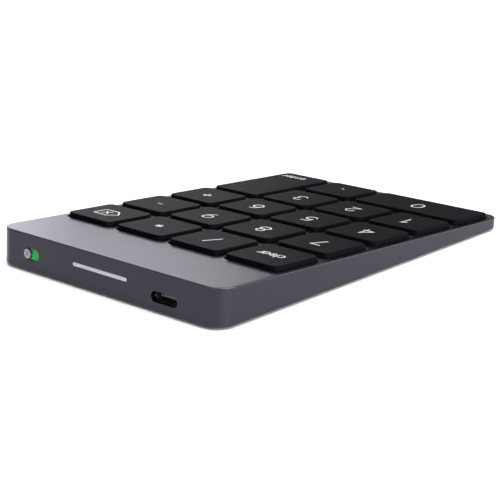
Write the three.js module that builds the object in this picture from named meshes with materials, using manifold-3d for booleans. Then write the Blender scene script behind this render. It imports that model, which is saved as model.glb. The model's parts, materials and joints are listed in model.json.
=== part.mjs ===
// Slim wireless numeric keypad: a wedge of anodised aluminium with scissor keys.
// Millimetres, +Z up, feet on z = 0, the rear (port) edge towards +Y, the user's right is +X.
// Most pieces are drawn in the deck frame: z = 0 is the deck's top face, y = 0 the middle key
// row, x = 0 half way between the second and third key columns. The deck frame is tilted by
// the wedge angle. The underside, feet and screws are drawn in the level base frame.
import * as THREE from 'three';
import { mergeVertices } from 'three/addons/utils/BufferGeometryUtils.js';
import Module from 'manifold-3d';

const wasm = await Module();
wasm.setup();

// ---- Driving dimensions ----
const PITCH = 19;
const CASE_WIDTH = 77.8;
const REAR_EDGE = 67;
const FRONT_EDGE = -49.8;
const REAR_DEPTH = 9.4;
const FRONT_DEPTH = 2.8;
const CASE_CORNER = 5;
const DECK_THICKNESS = 1.1;
const WALL = 1.5;

const CAP_GAP_X = 2.4;
const CAP_GAP_Y = 2.9;
const CAP_CORNER = 1.8;
const CAP_TOP = 1.15;
const CAP_CEILING = 0.4;
const CAP_SKIRT = -0.3;
const CAP_WALL = 0.8;
const WINDOW_CLEARANCE = 0.5;
const KEY_TRAVEL = 1.3;

const FOOT_PROUD = 0.7;
const FOOT_RADIUS = 4;
const FOOT_RECESS = 0.25;
const COVER_THICKNESS = 0.6;
const RIM = 0.8;
const FIT_GAP = 0.1;
const TOUCH_GAP = 0.05;

const DOME_SHEET = [-1.8, -1.65];
const MEMBRANE = [-2, -1.85];
const SUPPORT_PLATE = [-2.3, -2.05];
const STACK_WIDTH = 74.4;
const STACK_REAR = 47.5;
const STACK_FRONT = -47.6;

const BOARD = [-7.4, -6.6];
const BOARD_TOP = BOARD[1] + TOUCH_GAP;
const BOARD_REAR = 64.8;
const BOARD_FRONT = 47.9;
const BOARD_WIDTH = 68.4;

const PORT = { x: -21.6, z: -6, width: 8.5, height: 2.7 };
const SHELL = { width: 8.94, height: 3.16, wall: 0.3, length: 7 };
const ANTENNA_WINDOW = { x: 0.45, z: -4.18, width: 19.2, height: 1.05 };
const SWITCH = { x: 25.7, z: -5.1, width: 5.8, height: 3.1, travel: 2.9, knob: 2.7 };
const STATUS_LIGHT = { x: 32, y: 48.7, radius: 0.5 };
const BATTERY = { width: 40, front: 16, rear: 42, bottom: -5.4, top: -2.6 };

const REAR_SCREWS = { x: 33.5, y: 61, boss: 2 };
const MIDDLE_SCREWS = { x: PITCH, y: -PITCH / 2, boss: 1.7 };
const SCREW_SHANK = 0.7;
const SCREW_HEAD = 1.6;
const REAR_FEET_Y = 54;
const FRONT_FEET_Y = -42;
const FEET_X = 30;

// Key name, first column and row, and how many columns and rows it spans.
const KEYS = [
  ['clear', 0, 0, 1, 1], ['slash', 1, 0, 1, 1], ['star', 2, 0, 1, 1], ['backspace', 3, 0, 1, 1],
  ['7', 0, 1, 1, 1], ['8', 1, 1, 1, 1], ['9', 2, 1, 1, 1], ['minus', 3, 1, 1, 1],
  ['4', 0, 2, 1, 1], ['5', 1, 2, 1, 1], ['6', 2, 2, 1, 1], ['plus', 3, 2, 1, 1],
  ['1', 0, 3, 1, 1], ['2', 1, 3, 1, 1], ['3', 2, 3, 1, 1], ['enter', 3, 3, 1, 2],
  ['0', 0, 4, 2, 1], ['point', 2, 4, 1, 1],
];

// ---- Placing ----
const wedge = Math.atan2(REAR_DEPTH - FRONT_DEPTH, REAR_EDGE - FRONT_EDGE);
const rearmost = REAR_EDGE * Math.cos(wedge) + REAR_DEPTH * Math.sin(wedge);
const frontmost = FRONT_EDGE * Math.cos(wedge);
const shiftY = -(rearmost + frontmost) / 2;
const deckHeight = FOOT_PROUD - FRONT_EDGE * Math.sin(wedge) + FRONT_DEPTH * Math.cos(wedge);

const keypad = new THREE.Group();
const deck = new THREE.Group();
deck.rotation.x = wedge;
deck.position.set(0, shiftY, deckHeight);
deck.updateMatrix();
const deckToBase = deck.matrix.clone();
const baseToDeck = deck.matrix.clone().invert();
keypad.add(deck);

// ---- Materials ----
function material(color, roughness, metalness) {
  return new THREE.MeshStandardMaterial({ color, roughness, metalness });
}
const anodised = { color: 0x77767c, roughness: 0.42, metalness: 0.9 };
const finishes = {
  anodised: () => material(anodised.color, anodised.roughness, anodised.metalness),
  keycap: () => material(0x19191b, 0.62, 0),
  blackPlastic: () => material(0x202023, 0.55, 0),
  whitePlastic: () => material(0xd8d8d6, 0.5, 0),
  silicone: () => material(0xb9b9b4, 0.7, 0),
  film: () => material(0x9aa3a8, 0.35, 0),
  steel: () => material(0xb6b8bb, 0.3, 1),
  board: () => material(0x14271c, 0.45, 0),
  foil: () => material(0xc9c9cc, 0.35, 0.8),
  windowPlastic: () => material(0xbdbcc2, 0.45, 0),
  clearPlastic: () => material(0xe4e8ea, 0.15, 0),
  rubber: () => material(0x2b2b2d, 0.85, 0),
  knobMetal: () => material(0xa5a4a9, 0.35, 0.9),
};

// ---- Geometry helpers ----
// A closed solid that manifold-3d can cut and join.
function solid(geometry) {
  const plain = geometry.clone();
  plain.deleteAttribute('normal');
  plain.deleteAttribute('uv');
  const merged = mergeVertices(plain, 1e-4);
  return new wasm.Manifold(new wasm.Mesh({
    numProp: 3,
    vertProperties: new Float32Array(merged.attributes.position.array),
    triVerts: new Uint32Array(merged.index.array),
  }));
}

function geometryOf(manifold) {
  const mesh = manifold.getMesh();
  const geometry = new THREE.BufferGeometry();
  geometry.setAttribute('position', new THREE.BufferAttribute(mesh.vertProperties, 3));
  geometry.setIndex(new THREE.BufferAttribute(mesh.triVerts, 1));
  geometry.computeVertexNormals();
  return geometry;
}

function roundedRectangle(width, height, radius, x = 0, y = 0) {
  const right = x + width / 2 - radius;
  const left = x - width / 2 + radius;
  const top = y + height / 2 - radius;
  const bottom = y - height / 2 + radius;
  const shape = new THREE.Shape();
  shape.absarc(right, bottom, radius, -Math.PI / 2, 0, false);
  shape.absarc(right, top, radius, 0, Math.PI / 2, false);
  shape.absarc(left, top, radius, Math.PI / 2, Math.PI, false);
  shape.absarc(left, bottom, radius, Math.PI, 1.5 * Math.PI, false);
  shape.closePath();
  return shape;
}

// A plate with the shape's outline, between two heights.
function plate(shape, [bottom, top], cornerSteps) {
  const options = { depth: top - bottom, bevelEnabled: false, curveSegments: cornerSteps };
  return new THREE.ExtrudeGeometry(shape, options).translate(0, 0, bottom);
}

function block(x, y, z) {
  const size = [x, y, z].map(([low, high]) => high - low);
  const middle = [x, y, z].map(([low, high]) => (high + low) / 2);
  return new THREE.BoxGeometry(...size).translate(...middle);
}

// An upright post between two heights.
function post(x, y, radius, [bottom, top], sides) {
  const cylinder = new THREE.CylinderGeometry(radius, radius, top - bottom, sides);
  return cylinder.rotateX(Math.PI / 2).translate(x, y, (top + bottom) / 2);
}

// A prism through the rear wall: an outline drawn in x and z, running along y.
function throughRear(width, height, radius, { x, z }, [front, rear], cornerSteps = 3) {
  const outline = roundedRectangle(width, height, radius);
  const prism = plate(outline, [0, rear - front], cornerSteps);
  return prism.rotateX(Math.PI / 2).translate(x, rear, z);
}

// A turned piece about the vertical axis: a closed profile of [radius, height] points.
function turned(profile, sides) {
  const points = profile.map(([radius, height]) => new THREE.Vector2(radius, height));
  return new THREE.LatheGeometry(points, sides).rotateX(Math.PI / 2);
}

// A round bar between two points, a little longer than its ends so that bars join at bends.
function bar(from, to, radius) {
  const start = new THREE.Vector3(...from);
  const along = new THREE.Vector3(...to).sub(start);
  const length = along.length() + radius;
  const cylinder = new THREE.CylinderGeometry(radius, radius, length, 8);
  const turn = new THREE.Quaternion().setFromUnitVectors(
    new THREE.Vector3(0, 1, 0), along.clone().normalize());
  const middle = start.clone().addScaledVector(along, 0.5);
  return cylinder.applyQuaternion(turn).translate(middle.x, middle.y, middle.z);
}

function addMesh(group, name, geometry, finish) {
  const mesh = new THREE.Mesh(geometry, finishes[finish]());
  mesh.name = name;
  group.add(mesh);
  return mesh;
}

// ---- Key layout ----
const keys = KEYS.map(([name, column, row, columns, rows]) => ({
  name,
  x: (column + (columns - 1) / 2 - 1.5) * PITCH,
  y: (2 - row - (rows - 1) / 2) * PITCH,
  width: columns * PITCH - CAP_GAP_X,
  height: rows * PITCH - CAP_GAP_Y,
}));

const bossPlaces = [];
for (const set of [REAR_SCREWS, MIDDLE_SCREWS]) {
  for (const side of [-1, 1]) {
    bossPlaces.push({ x: side * set.x, y: set.y, radius: set.boss });
  }
}
// A place on the deck, straight above, in the base frame.
function belowDeck({ x, y }) {
  return new THREE.Vector3(x, y, 0).applyMatrix4(deckToBase);
}

// ---- Top case ----
const caseMiddle = (REAR_EDGE + FRONT_EDGE) / 2;
const caseLength = REAR_EDGE - FRONT_EDGE;
const BELOW_ALL = -14;
const coverTop = FOOT_PROUD + COVER_THICKNESS;
const baseRear = rearmost + shiftY;
const baseFront = FRONT_EDGE * Math.cos(wedge) + FRONT_DEPTH * Math.sin(wedge) + shiftY;
const baseMiddle = (baseRear + baseFront) / 2;
const baseLength = baseRear - baseFront;

function makeTopCase() {
  const outline = roundedRectangle(CASE_WIDTH, caseLength, CASE_CORNER, 0, caseMiddle);
  const blank = solid(plate(outline, [BELOW_ALL, 0], 6));
  const ground = block([-60, 60], [-90, 90], [-30, FOOT_PROUD]).applyMatrix4(baseToDeck);
  const outside = blank.subtract(solid(ground));

  const pocket = roundedRectangle(
    CASE_WIDTH - 2 * WALL, caseLength - 2 * WALL, CASE_CORNER - WALL, 0, caseMiddle);
  let body = outside.subtract(solid(plate(pocket, [BELOW_ALL, -DECK_THICKNESS], 2)));

  const rabbet = roundedRectangle(
    CASE_WIDTH - 2 * RIM, baseLength - 2 * RIM, CASE_CORNER - RIM, 0, baseMiddle);
  const rabbetHeights = [FOOT_PROUD - 1, coverTop + TOUCH_GAP];
  body = body.subtract(solid(plate(rabbet, rabbetHeights, 3).applyMatrix4(baseToDeck)));

  const bossRoom = solid(plate(outline, [BELOW_ALL, -DECK_THICKNESS / 2], 2));
  for (const { x, y, radius } of bossPlaces) {
    const { y: level } = belowDeck({ x, y });
    const boss = post(x, level, radius, [coverTop + FIT_GAP, 12], 12).applyMatrix4(baseToDeck);
    body = body.add(solid(boss).intersect(bossRoom));
    const hole = post(x, level, SCREW_SHANK + FIT_GAP, [0, coverTop + 3], 10);
    body = body.subtract(solid(hole.applyMatrix4(baseToDeck)));
  }

  for (const { x, y, width, height } of keys) {
    const opening = roundedRectangle(
      width + 2 * WINDOW_CLEARANCE, height + 2 * WINDOW_CLEARANCE,
      CAP_CORNER + WINDOW_CLEARANCE, x, y);
    body = body.subtract(solid(plate(opening, [-DECK_THICKNESS - 0.4, 1], 2)));
  }

  const cuts = [[PORT, 1.35], [ANTENNA_WINDOW, 0.5], [SWITCH, 1.55]];
  for (const [cut, radius] of cuts) {
    const run = [REAR_EDGE - WALL - 0.5, REAR_EDGE + 1];
    const through = throughRear(cut.width, cut.height, radius - 0.01, cut, run);
    body = body.subtract(solid(through));
  }
  const lightHole = post(
    STATUS_LIGHT.x, STATUS_LIGHT.y, STATUS_LIGHT.radius + TOUCH_GAP, [-2, 1], 16);
  return body.subtract(solid(lightHole));
}
addMesh(deck, 'top_case', geometryOf(makeTopCase()), 'anodised');

// ---- Base cover with its foot recesses, countersinks and board rests ----
const screwPlaces = bossPlaces.map((place) => ({ x: place.x, y: belowDeck(place).y }));
const feetPlaces = [
  ['foot_rear_left', -FEET_X, REAR_FEET_Y], ['foot_rear_right', FEET_X, REAR_FEET_Y],
  ['foot_front_left', -FEET_X, FRONT_FEET_Y], ['foot_front_right', FEET_X, FRONT_FEET_Y],
].map(([name, x, y]) => ({ name, x, y: y + shiftY }));

function makeBaseCover() {
  const inset = RIM + FIT_GAP;
  const outline = roundedRectangle(
    CASE_WIDTH - 2 * inset, baseLength - 2 * inset, CASE_CORNER - inset, 0, baseMiddle);
  let body = solid(plate(outline, [FOOT_PROUD, coverTop], 3));
  for (const { x, y } of feetPlaces) {
    const recess = [FOOT_PROUD - 1, FOOT_PROUD + FOOT_RECESS];
    body = body.subtract(solid(post(x, y, FOOT_RADIUS + FIT_GAP, recess, 16)));
  }
  const head = SCREW_HEAD + FIT_GAP;
  const shank = SCREW_SHANK + FIT_GAP;
  const sink = [
    [0, -1], [head, -1], [head, 0.02], [shank, 0.02 + head - shank - 0.45], [shank, 1], [0, 1],
  ];
  for (const { x, y } of screwPlaces) {
    body = body.subtract(solid(turned(sink, 10).translate(x, y, FOOT_PROUD)));
  }
  for (const side of [-1, 1]) {
    const rest = block(
      [side * 20 - 2, side * 20 + 2], [52, 56], [-8.3, BOARD[0] - TOUCH_GAP]);
    body = body.add(solid(rest.applyMatrix4(deckToBase)));
  }
  return body;
}
addMesh(keypad, 'base_cover', geometryOf(makeBaseCover()), 'anodised');

for (const { name, x, y } of feetPlaces) {
  const edge = 0.25;
  const profile = [
    [0, 0], [FOOT_RADIUS - edge, 0], [FOOT_RADIUS, edge],
    [FOOT_RADIUS, FOOT_PROUD + FOOT_RECESS - TOUCH_GAP], [0, FOOT_PROUD + FOOT_RECESS - TOUCH_GAP],
  ];
  const foot = addMesh(keypad, name, geometryOf(solid(turned(profile, 16))), 'rubber');
  foot.position.set(x, y, 0);
}

const screwProfile = [
  [0, 0], [SCREW_HEAD, 0], [SCREW_SHANK, 0.45], [SCREW_SHANK, 2.6], [0, 2.6],
];
const screwNames = ['screw_rear_left', 'screw_rear_right', 'screw_middle_left', 'screw_middle_right'];
screwPlaces.forEach(({ x, y }, index) => {
  const screw = addMesh(
    keypad, screwNames[index], geometryOf(solid(turned(screwProfile, 10))), 'steel');
  screw.position.set(x, y, FOOT_PROUD + TOUCH_GAP);
});

// ---- Sheets under the keys ----
const stackOutline = roundedRectangle(
  STACK_WIDTH, STACK_REAR - STACK_FRONT, 3, 0, (STACK_REAR + STACK_FRONT) / 2);

function makeSheet(heights) {
  let body = solid(plate(stackOutline, heights, 1));
  for (const side of [-1, 1]) {
    const hole = post(side * MIDDLE_SCREWS.x, MIDDLE_SCREWS.y, MIDDLE_SCREWS.boss + 0.5, [-4, 0], 12);
    body = body.subtract(solid(hole));
  }
  return body;
}

const DOME = { foot: 3, head: 1.4, top: 0.3, wall: 0.4, plunger: 0.8 };
function makeDomeSheet() {
  let body = makeSheet(DOME_SHEET);
  const start = DOME_SHEET[0] + 0.02;
  const outer = [[0, start], [DOME.foot, start], [DOME.head, DOME.top], [0, DOME.top]];
  const ceiling = DOME.top - DOME.plunger;
  const inner = [
    [0, start - 1], [DOME.foot - DOME.wall, start - 1], [DOME.foot - DOME.wall, start],
    [DOME.head - DOME.wall, ceiling], [0, ceiling],
  ];
  for (const { x, y } of keys) {
    body = body.add(solid(turned(outer, 8).translate(x, y, 0)));
    body = body.subtract(solid(turned(inner, 8).translate(x, y, 0)));
  }
  return body;
}
addMesh(deck, 'dome_sheet', geometryOf(makeDomeSheet()), 'silicone');
addMesh(deck, 'membrane_sheet', geometryOf(makeSheet(MEMBRANE)), 'film');
addMesh(deck, 'support_plate', geometryOf(makeSheet(SUPPORT_PLATE)), 'steel');

// ---- Keycaps: hollow shells with four clips for the scissor's bars ----
const CLIP = { x: 2.6, y: [5.6, 6], width: 1 };
function makeKeycap({ width, height }) {
  const outer = plate(roundedRectangle(width, height, CAP_CORNER), [CAP_SKIRT, CAP_TOP], 2);
  const inner = block(
    [CAP_WALL - width / 2, width / 2 - CAP_WALL],
    [CAP_WALL - height / 2, height / 2 - CAP_WALL],
    [CAP_SKIRT - 1, CAP_CEILING]);
  let body = solid(outer).subtract(solid(inner));
  for (const sideX of [-1, 1]) {
    for (const sideY of [-1, 1]) {
      const x = [sideX * CLIP.x - CLIP.width / 2, sideX * CLIP.x + CLIP.width / 2];
      const y = CLIP.y.map((value) => sideY * value).sort((a, b) => a - b);
      body = body.add(solid(block(x, y, [CAP_SKIRT, CAP_CEILING + 0.1])));
    }
  }
  return body;
}

// ---- Scissors: two crossing frames that share a pivot pin on each side ----
const SCISSOR = { outer: 12.4, inner: 9.9, length: 10.4, bar: 1, thickness: 0.45, tilt: 0.128 };
const SCISSOR_HEIGHT = -0.66;
function makeFrame(width, tilt) {
  const half = SCISSOR.thickness / 2;
  const [x, y] = [width / 2, SCISSOR.length / 2];
  const outside = block([-x, x], [-y, y], [-half, half]).rotateX(tilt);
  const inside = block(
    [SCISSOR.bar - x, x - SCISSOR.bar], [SCISSOR.bar - y, y - SCISSOR.bar], [-1, 1]).rotateX(tilt);
  return solid(outside).subtract(solid(inside));
}
function makeScissor() {
  const pinReach = SCISSOR.outer / 2 - SCISSOR.bar / 2;
  const pinStart = SCISSOR.inner / 2 - SCISSOR.bar / 2;
  let body = makeFrame(SCISSOR.outer, SCISSOR.tilt).add(makeFrame(SCISSOR.inner, -SCISSOR.tilt));
  for (const side of [-1, 1]) {
    const x = [side * pinStart, side * pinReach].sort((a, b) => a - b);
    body = body.add(solid(block(x, [-0.2, 0.2], [-0.15, 0.15])));
  }
  return body;
}
const scissorGeometry = geometryOf(makeScissor());

for (const key of keys) {
  const cap = addMesh(deck, `key_${key.name}`, geometryOf(makeKeycap(key)), 'keycap');
  cap.position.set(key.x, key.y, 0);
  const scissor = addMesh(deck, `scissor_${key.name}`, scissorGeometry.clone(), 'whitePlastic');
  scissor.position.set(key.x, key.y, SCISSOR_HEIGHT);
}

// ---- Stabiliser wires of the two long keys ----
// The wire's two turned-in ends pivot on the support plate and its long run lies under the
// keycap, so that a key pressed at one end stays level.
const WIRE = { radius: 0.3, arm: 5.5, halfLength: 13, hook: 1.5, pivotHeight: -1.3 };
const wireTilt = Math.asin((KEY_TRAVEL + 0.02) / WIRE.arm);
function makeWire() {
  const { arm, halfLength, hook, radius } = WIRE;
  let body = solid(bar([-halfLength, arm, 0], [halfLength, arm, 0], radius));
  for (const side of [-1, 1]) {
    body = body.add(solid(bar([side * halfLength, 0, 0], [side * halfLength, arm, 0], radius)));
    const inner = side * (halfLength - hook);
    body = body.add(solid(bar([inner, 0, 0], [side * halfLength, 0, 0], radius)));
  }
  return geometryOf(body);
}
const WIRE_RUN = 6.8;
function addStabiliser(name, key, turn) {
  const holder = new THREE.Group();
  const offset = WIRE_RUN - WIRE.arm;
  const pivot = new THREE.Vector3(0, offset, 0).applyAxisAngle(new THREE.Vector3(0, 0, 1), turn);
  holder.position.set(key.x + pivot.x, key.y + pivot.y, WIRE.pivotHeight);
  holder.rotation.z = turn;
  const wire = addMesh(holder, name, makeWire(), 'steel');
  wire.rotation.x = wireTilt;
  deck.add(holder);
}
addStabiliser('stabiliser_0', keys.find((key) => key.name === '0'), 0);
addStabiliser('stabiliser_enter', keys.find((key) => key.name === 'enter'), -Math.PI / 2);

// ---- Battery ----
const batteryOutline = roundedRectangle(
  BATTERY.width, BATTERY.rear - BATTERY.front, 1.2, 0, (BATTERY.rear + BATTERY.front) / 2);
addMesh(deck, 'battery',
  geometryOf(solid(plate(batteryOutline, [BATTERY.bottom, BATTERY.top], 2))), 'foil');

// ---- Main board, with room for the port and the rear bosses ----
function makeBoard() {
  const middle = (BOARD_REAR + BOARD_FRONT) / 2;
  const outline = roundedRectangle(BOARD_WIDTH, BOARD_REAR - BOARD_FRONT, 1, 0, middle);
  let body = solid(plate(outline, BOARD, 1));
  const half = SHELL.width / 2 + 0.2;
  const notch = block(
    [PORT.x - half, PORT.x + half], [REAR_EDGE - WALL - SHELL.length - 0.4, BOARD_REAR + 1], [-9, -5]);
  body = body.subtract(solid(notch));
  for (const side of [-1, 1]) {
    const clearance = post(side * REAR_SCREWS.x, REAR_SCREWS.y, REAR_SCREWS.boss + 0.6, [-9, -5], 16);
    body = body.subtract(solid(clearance));
    const corner = block(
      [Math.min(side * 32, side * 40), Math.max(side * 32, side * 40)],
      [REAR_SCREWS.y, BOARD_REAR + 1], [-9, -5]);
    body = body.subtract(solid(corner));
  }
  return body;
}
addMesh(deck, 'main_pcb', geometryOf(makeBoard()), 'board');

// ---- Radio module: a small board under a metal can, close to the antenna window ----
const moduleBoard = block([-7, 7], [56.8, 64.2], [BOARD_TOP, BOARD_TOP + 0.5]);
const moduleCan = plate(roundedRectangle(10.4, 6.4, 0.5, 1.2, 60.5), [BOARD_TOP + 0.4, -4.9], 1);
addMesh(deck, 'bluetooth_module', geometryOf(solid(moduleBoard).add(solid(moduleCan))), 'steel');

// ---- USB-C receptacle ----
const wallInside = REAR_EDGE - WALL;
const shellFront = wallInside - TOUCH_GAP;
const shellRear = shellFront - SHELL.length;
function makeShell() {
  const { width, height, wall } = SHELL;
  const outer = throughRear(width, height, height / 2 - 0.01, PORT, [shellRear, shellFront]);
  const inner = throughRear(
    width - 2 * wall, height - 2 * wall, height / 2 - wall - 0.01, PORT,
    [shellRear + wall, shellFront + 1]);
  let body = solid(outer).subtract(solid(inner));
  for (const side of [-1, 1]) {
    for (const y of [shellRear + 1.2, shellFront - 2.2]) {
      const near = PORT.x + side * (width / 2 - 0.2);
      const far = PORT.x + side * (width / 2 + 1.1);
      const tab = block([Math.min(near, far), Math.max(near, far)], [y, y + 1], [BOARD_TOP, BOARD_TOP + 0.3]);
      body = body.add(solid(tab));
    }
  }
  return body;
}
addMesh(deck, 'usb_c_shell', geometryOf(makeShell()), 'steel');

function makeTongue() {
  const { width, height, wall } = SHELL;
  const gap = 2 * (wall + TOUCH_GAP);
  const rear = shellRear + wall + TOUCH_GAP;
  const root = throughRear(
    width - gap, height - gap, (height - gap) / 2 - 0.01, PORT, [rear, rear + 1.4]);
  const tongue = throughRear(6.7, 0.7, 0.2, PORT, [rear + 1, shellFront - 0.8], 1);
  return solid(root).add(solid(tongue));
}
addMesh(deck, 'usb_c_tongue', geometryOf(makeTongue()), 'blackPlastic');

// ---- Antenna window: a plastic bar in the rear wall with a flange behind it ----
const windowBar = throughRear(
  ANTENNA_WINDOW.width - FIT_GAP, ANTENNA_WINDOW.height - FIT_GAP, 0.45, ANTENNA_WINDOW,
  [wallInside - 0.3, REAR_EDGE - 0.02]);
const windowFlange = throughRear(
  ANTENNA_WINDOW.width + 2, 2.2, 0.4, ANTENNA_WINDOW, [wallInside - 0.6, wallInside - TOUCH_GAP], 1);
addMesh(deck, 'antenna_window', geometryOf(solid(windowBar).add(solid(windowFlange))), 'windowPlastic');

// ---- Power switch: the housing's raised face fills the wall's slot, the knob slides in it ----
const SWITCH_FACE = REAR_EDGE - 0.5;
const SLIDER = { width: 2.2, height: 1.2, front: 62.2, rear: 63.8 };
const STEM = { width: 0.9, height: 0.5 };
const knobRest = SWITCH.x + SWITCH.travel / 2;
const knobFar = SWITCH.x - SWITCH.travel / 2;

function makeSwitchHousing() {
  const body = solid(block([21.3, 30.1], [61, wallInside - TOUCH_GAP], [BOARD_TOP, -3.7]));
  const face = throughRear(
    SWITCH.width - 2 * FIT_GAP, SWITCH.height - 2 * FIT_GAP, 1.44, SWITCH, [wallInside - 1, SWITCH_FACE]);
  const clearance = 0.1;
  const stemSlot = block(
    [knobFar - STEM.width / 2 - clearance, knobRest + STEM.width / 2 + clearance],
    [62, SWITCH_FACE + 1],
    [SWITCH.z - STEM.height / 2 - clearance, SWITCH.z + STEM.height / 2 + clearance]);
  const room = block(
    [knobFar - SLIDER.width / 2 - clearance, knobRest + SLIDER.width / 2 + clearance],
    [SLIDER.front - clearance, SLIDER.rear + clearance],
    [SWITCH.z - SLIDER.height / 2 - clearance, SWITCH.z + SLIDER.height / 2 + clearance]);
  return body.add(solid(face)).subtract(solid(stemSlot)).subtract(solid(room));
}
addMesh(deck, 'switch_housing', geometryOf(makeSwitchHousing()), 'blackPlastic');

function makeSwitchKnob() {
  const front = SWITCH_FACE + TOUCH_GAP;
  const head = throughRear(
    SWITCH.knob, SWITCH.knob, SWITCH.knob / 2 - 0.01, { x: 0, z: 0 }, [front, REAR_EDGE + 0.15]);
  const stem = block(
    [-STEM.width / 2, STEM.width / 2], [SLIDER.rear - 0.2, front + 0.2],
    [-STEM.height / 2, STEM.height / 2]);
  const slider = block(
    [-SLIDER.width / 2, SLIDER.width / 2], [SLIDER.front, SLIDER.rear],
    [-SLIDER.height / 2, SLIDER.height / 2]);
  return solid(head).add(solid(stem)).add(solid(slider));
}
const knob = addMesh(deck, 'switch_knob', geometryOf(makeSwitchKnob()), 'knobMetal');
knob.position.set(knobRest, 0, SWITCH.z);

// ---- Status light pipe, from the board's lamp up to the deck ----
const pipe = post(STATUS_LIGHT.x, STATUS_LIGHT.y, STATUS_LIGHT.radius, [BOARD_TOP, -0.02], 12);
const pipeFlange = post(
  STATUS_LIGHT.x, STATUS_LIGHT.y, 0.9, [-DECK_THICKNESS - 0.8, -DECK_THICKNESS - TOUCH_GAP], 12);
addMesh(deck, 'status_light_pipe', geometryOf(solid(pipe).add(solid(pipeFlange))), 'clearPlastic');

export default keypad;
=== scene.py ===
"""A slim wireless numeric keypad in space grey aluminium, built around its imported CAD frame.

Pieces are drawn in millimetres in the deck frame (z = 0 on the deck's top face, y = 0 on the
middle key row, +Y towards the rear edge) and placed by DECK, which also turns them into metres.
"""
import json
import math

import bmesh
import bpy
from mathutils import Matrix, Vector, geometry


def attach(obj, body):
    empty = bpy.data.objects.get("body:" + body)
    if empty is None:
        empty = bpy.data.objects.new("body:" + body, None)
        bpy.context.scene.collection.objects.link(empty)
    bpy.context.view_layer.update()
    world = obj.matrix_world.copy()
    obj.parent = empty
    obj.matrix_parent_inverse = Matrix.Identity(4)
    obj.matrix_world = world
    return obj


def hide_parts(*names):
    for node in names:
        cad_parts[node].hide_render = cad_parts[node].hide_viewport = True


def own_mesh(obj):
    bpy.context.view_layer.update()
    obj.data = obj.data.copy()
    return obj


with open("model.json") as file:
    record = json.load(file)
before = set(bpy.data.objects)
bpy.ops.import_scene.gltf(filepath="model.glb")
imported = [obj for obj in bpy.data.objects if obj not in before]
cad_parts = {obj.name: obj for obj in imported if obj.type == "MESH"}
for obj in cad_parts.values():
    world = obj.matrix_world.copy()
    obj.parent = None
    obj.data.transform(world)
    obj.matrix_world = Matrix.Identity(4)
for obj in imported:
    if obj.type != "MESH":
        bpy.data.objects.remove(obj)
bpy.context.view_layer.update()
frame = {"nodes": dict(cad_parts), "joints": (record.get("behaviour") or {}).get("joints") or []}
nodes = frame["nodes"]
joints = {joint["name"]: joint for joint in frame["joints"]}

MM = 0.001
KEY_NAMES = [name[len("key_"):] for name in nodes if name.startswith("key_")]


# ---- Frames, worked out from the CAD nodes ----
PRESS = Vector(joints["press_5"]["axis"])
WEDGE = math.atan2(PRESS.y, -PRESS.z)
TILT = Matrix.Rotation(WEDGE, 4, "X")


def box_in(matrix, node):
    """Lowest and highest corner of a CAD node in another frame."""
    points = [matrix @ vertex.co for vertex in nodes[node].data.vertices]
    low = Vector([min(point[i] for point in points) for i in range(3)])
    high = Vector([max(point[i] for point in points) for i in range(3)])
    return low, high


def deck_frame():
    """The frame that lies on the deck, in millimetres, as a matrix to the object's own frame."""
    untilt = TILT.inverted()
    middle_key = sum(box_in(untilt, "key_5"), Vector()) / 2
    deck_top = box_in(untilt, "top_case")[1].z
    origin = Vector((0, middle_key.y, deck_top))
    return TILT @ Matrix.Translation(origin) @ Matrix.Scale(MM, 4)


DECK = deck_frame()
TO_DECK = DECK.inverted()
LEVEL = Matrix.Scale(MM, 4)


def deck_box(node):
    return box_in(TO_DECK, node)


def level_box(node):
    return box_in(LEVEL.inverted(), node)


def middle(box):
    low, high = box
    return (low + high) / 2


CASE_LOW, CASE_HIGH = deck_box("top_case")
CASE_WIDTH = CASE_HIGH.x - CASE_LOW.x
CASE_LENGTH = CASE_HIGH.y - CASE_LOW.y
CASE_MIDDLE = (CASE_HIGH.y + CASE_LOW.y) / 2
REAR = CASE_HIGH.y
COVER_BOTTOM = level_box("base_cover")[0].z
CASE_CORNER = 5
CASE_EDGE = 0.28
DECK_THICKNESS = 1.1
WALL = 1.5
RIM = 0.8
RIM_EDGE = 0.15
LEDGE = 0.65
KEY_CORNER = 1.8
KEY_CLEARANCE = 0.5
OPENING_EDGE = 0.12


def underside(x, y, above=0.0):
    """Deck-frame height of the level plane that lies above the case's bottom rim."""
    bottom = TO_DECK @ Vector((0, 0, COVER_BOTTOM * MM))
    slope = math.tan(WEDGE)
    return bottom.z - (y - bottom.y) * slope + above / math.cos(WEDGE)


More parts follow.
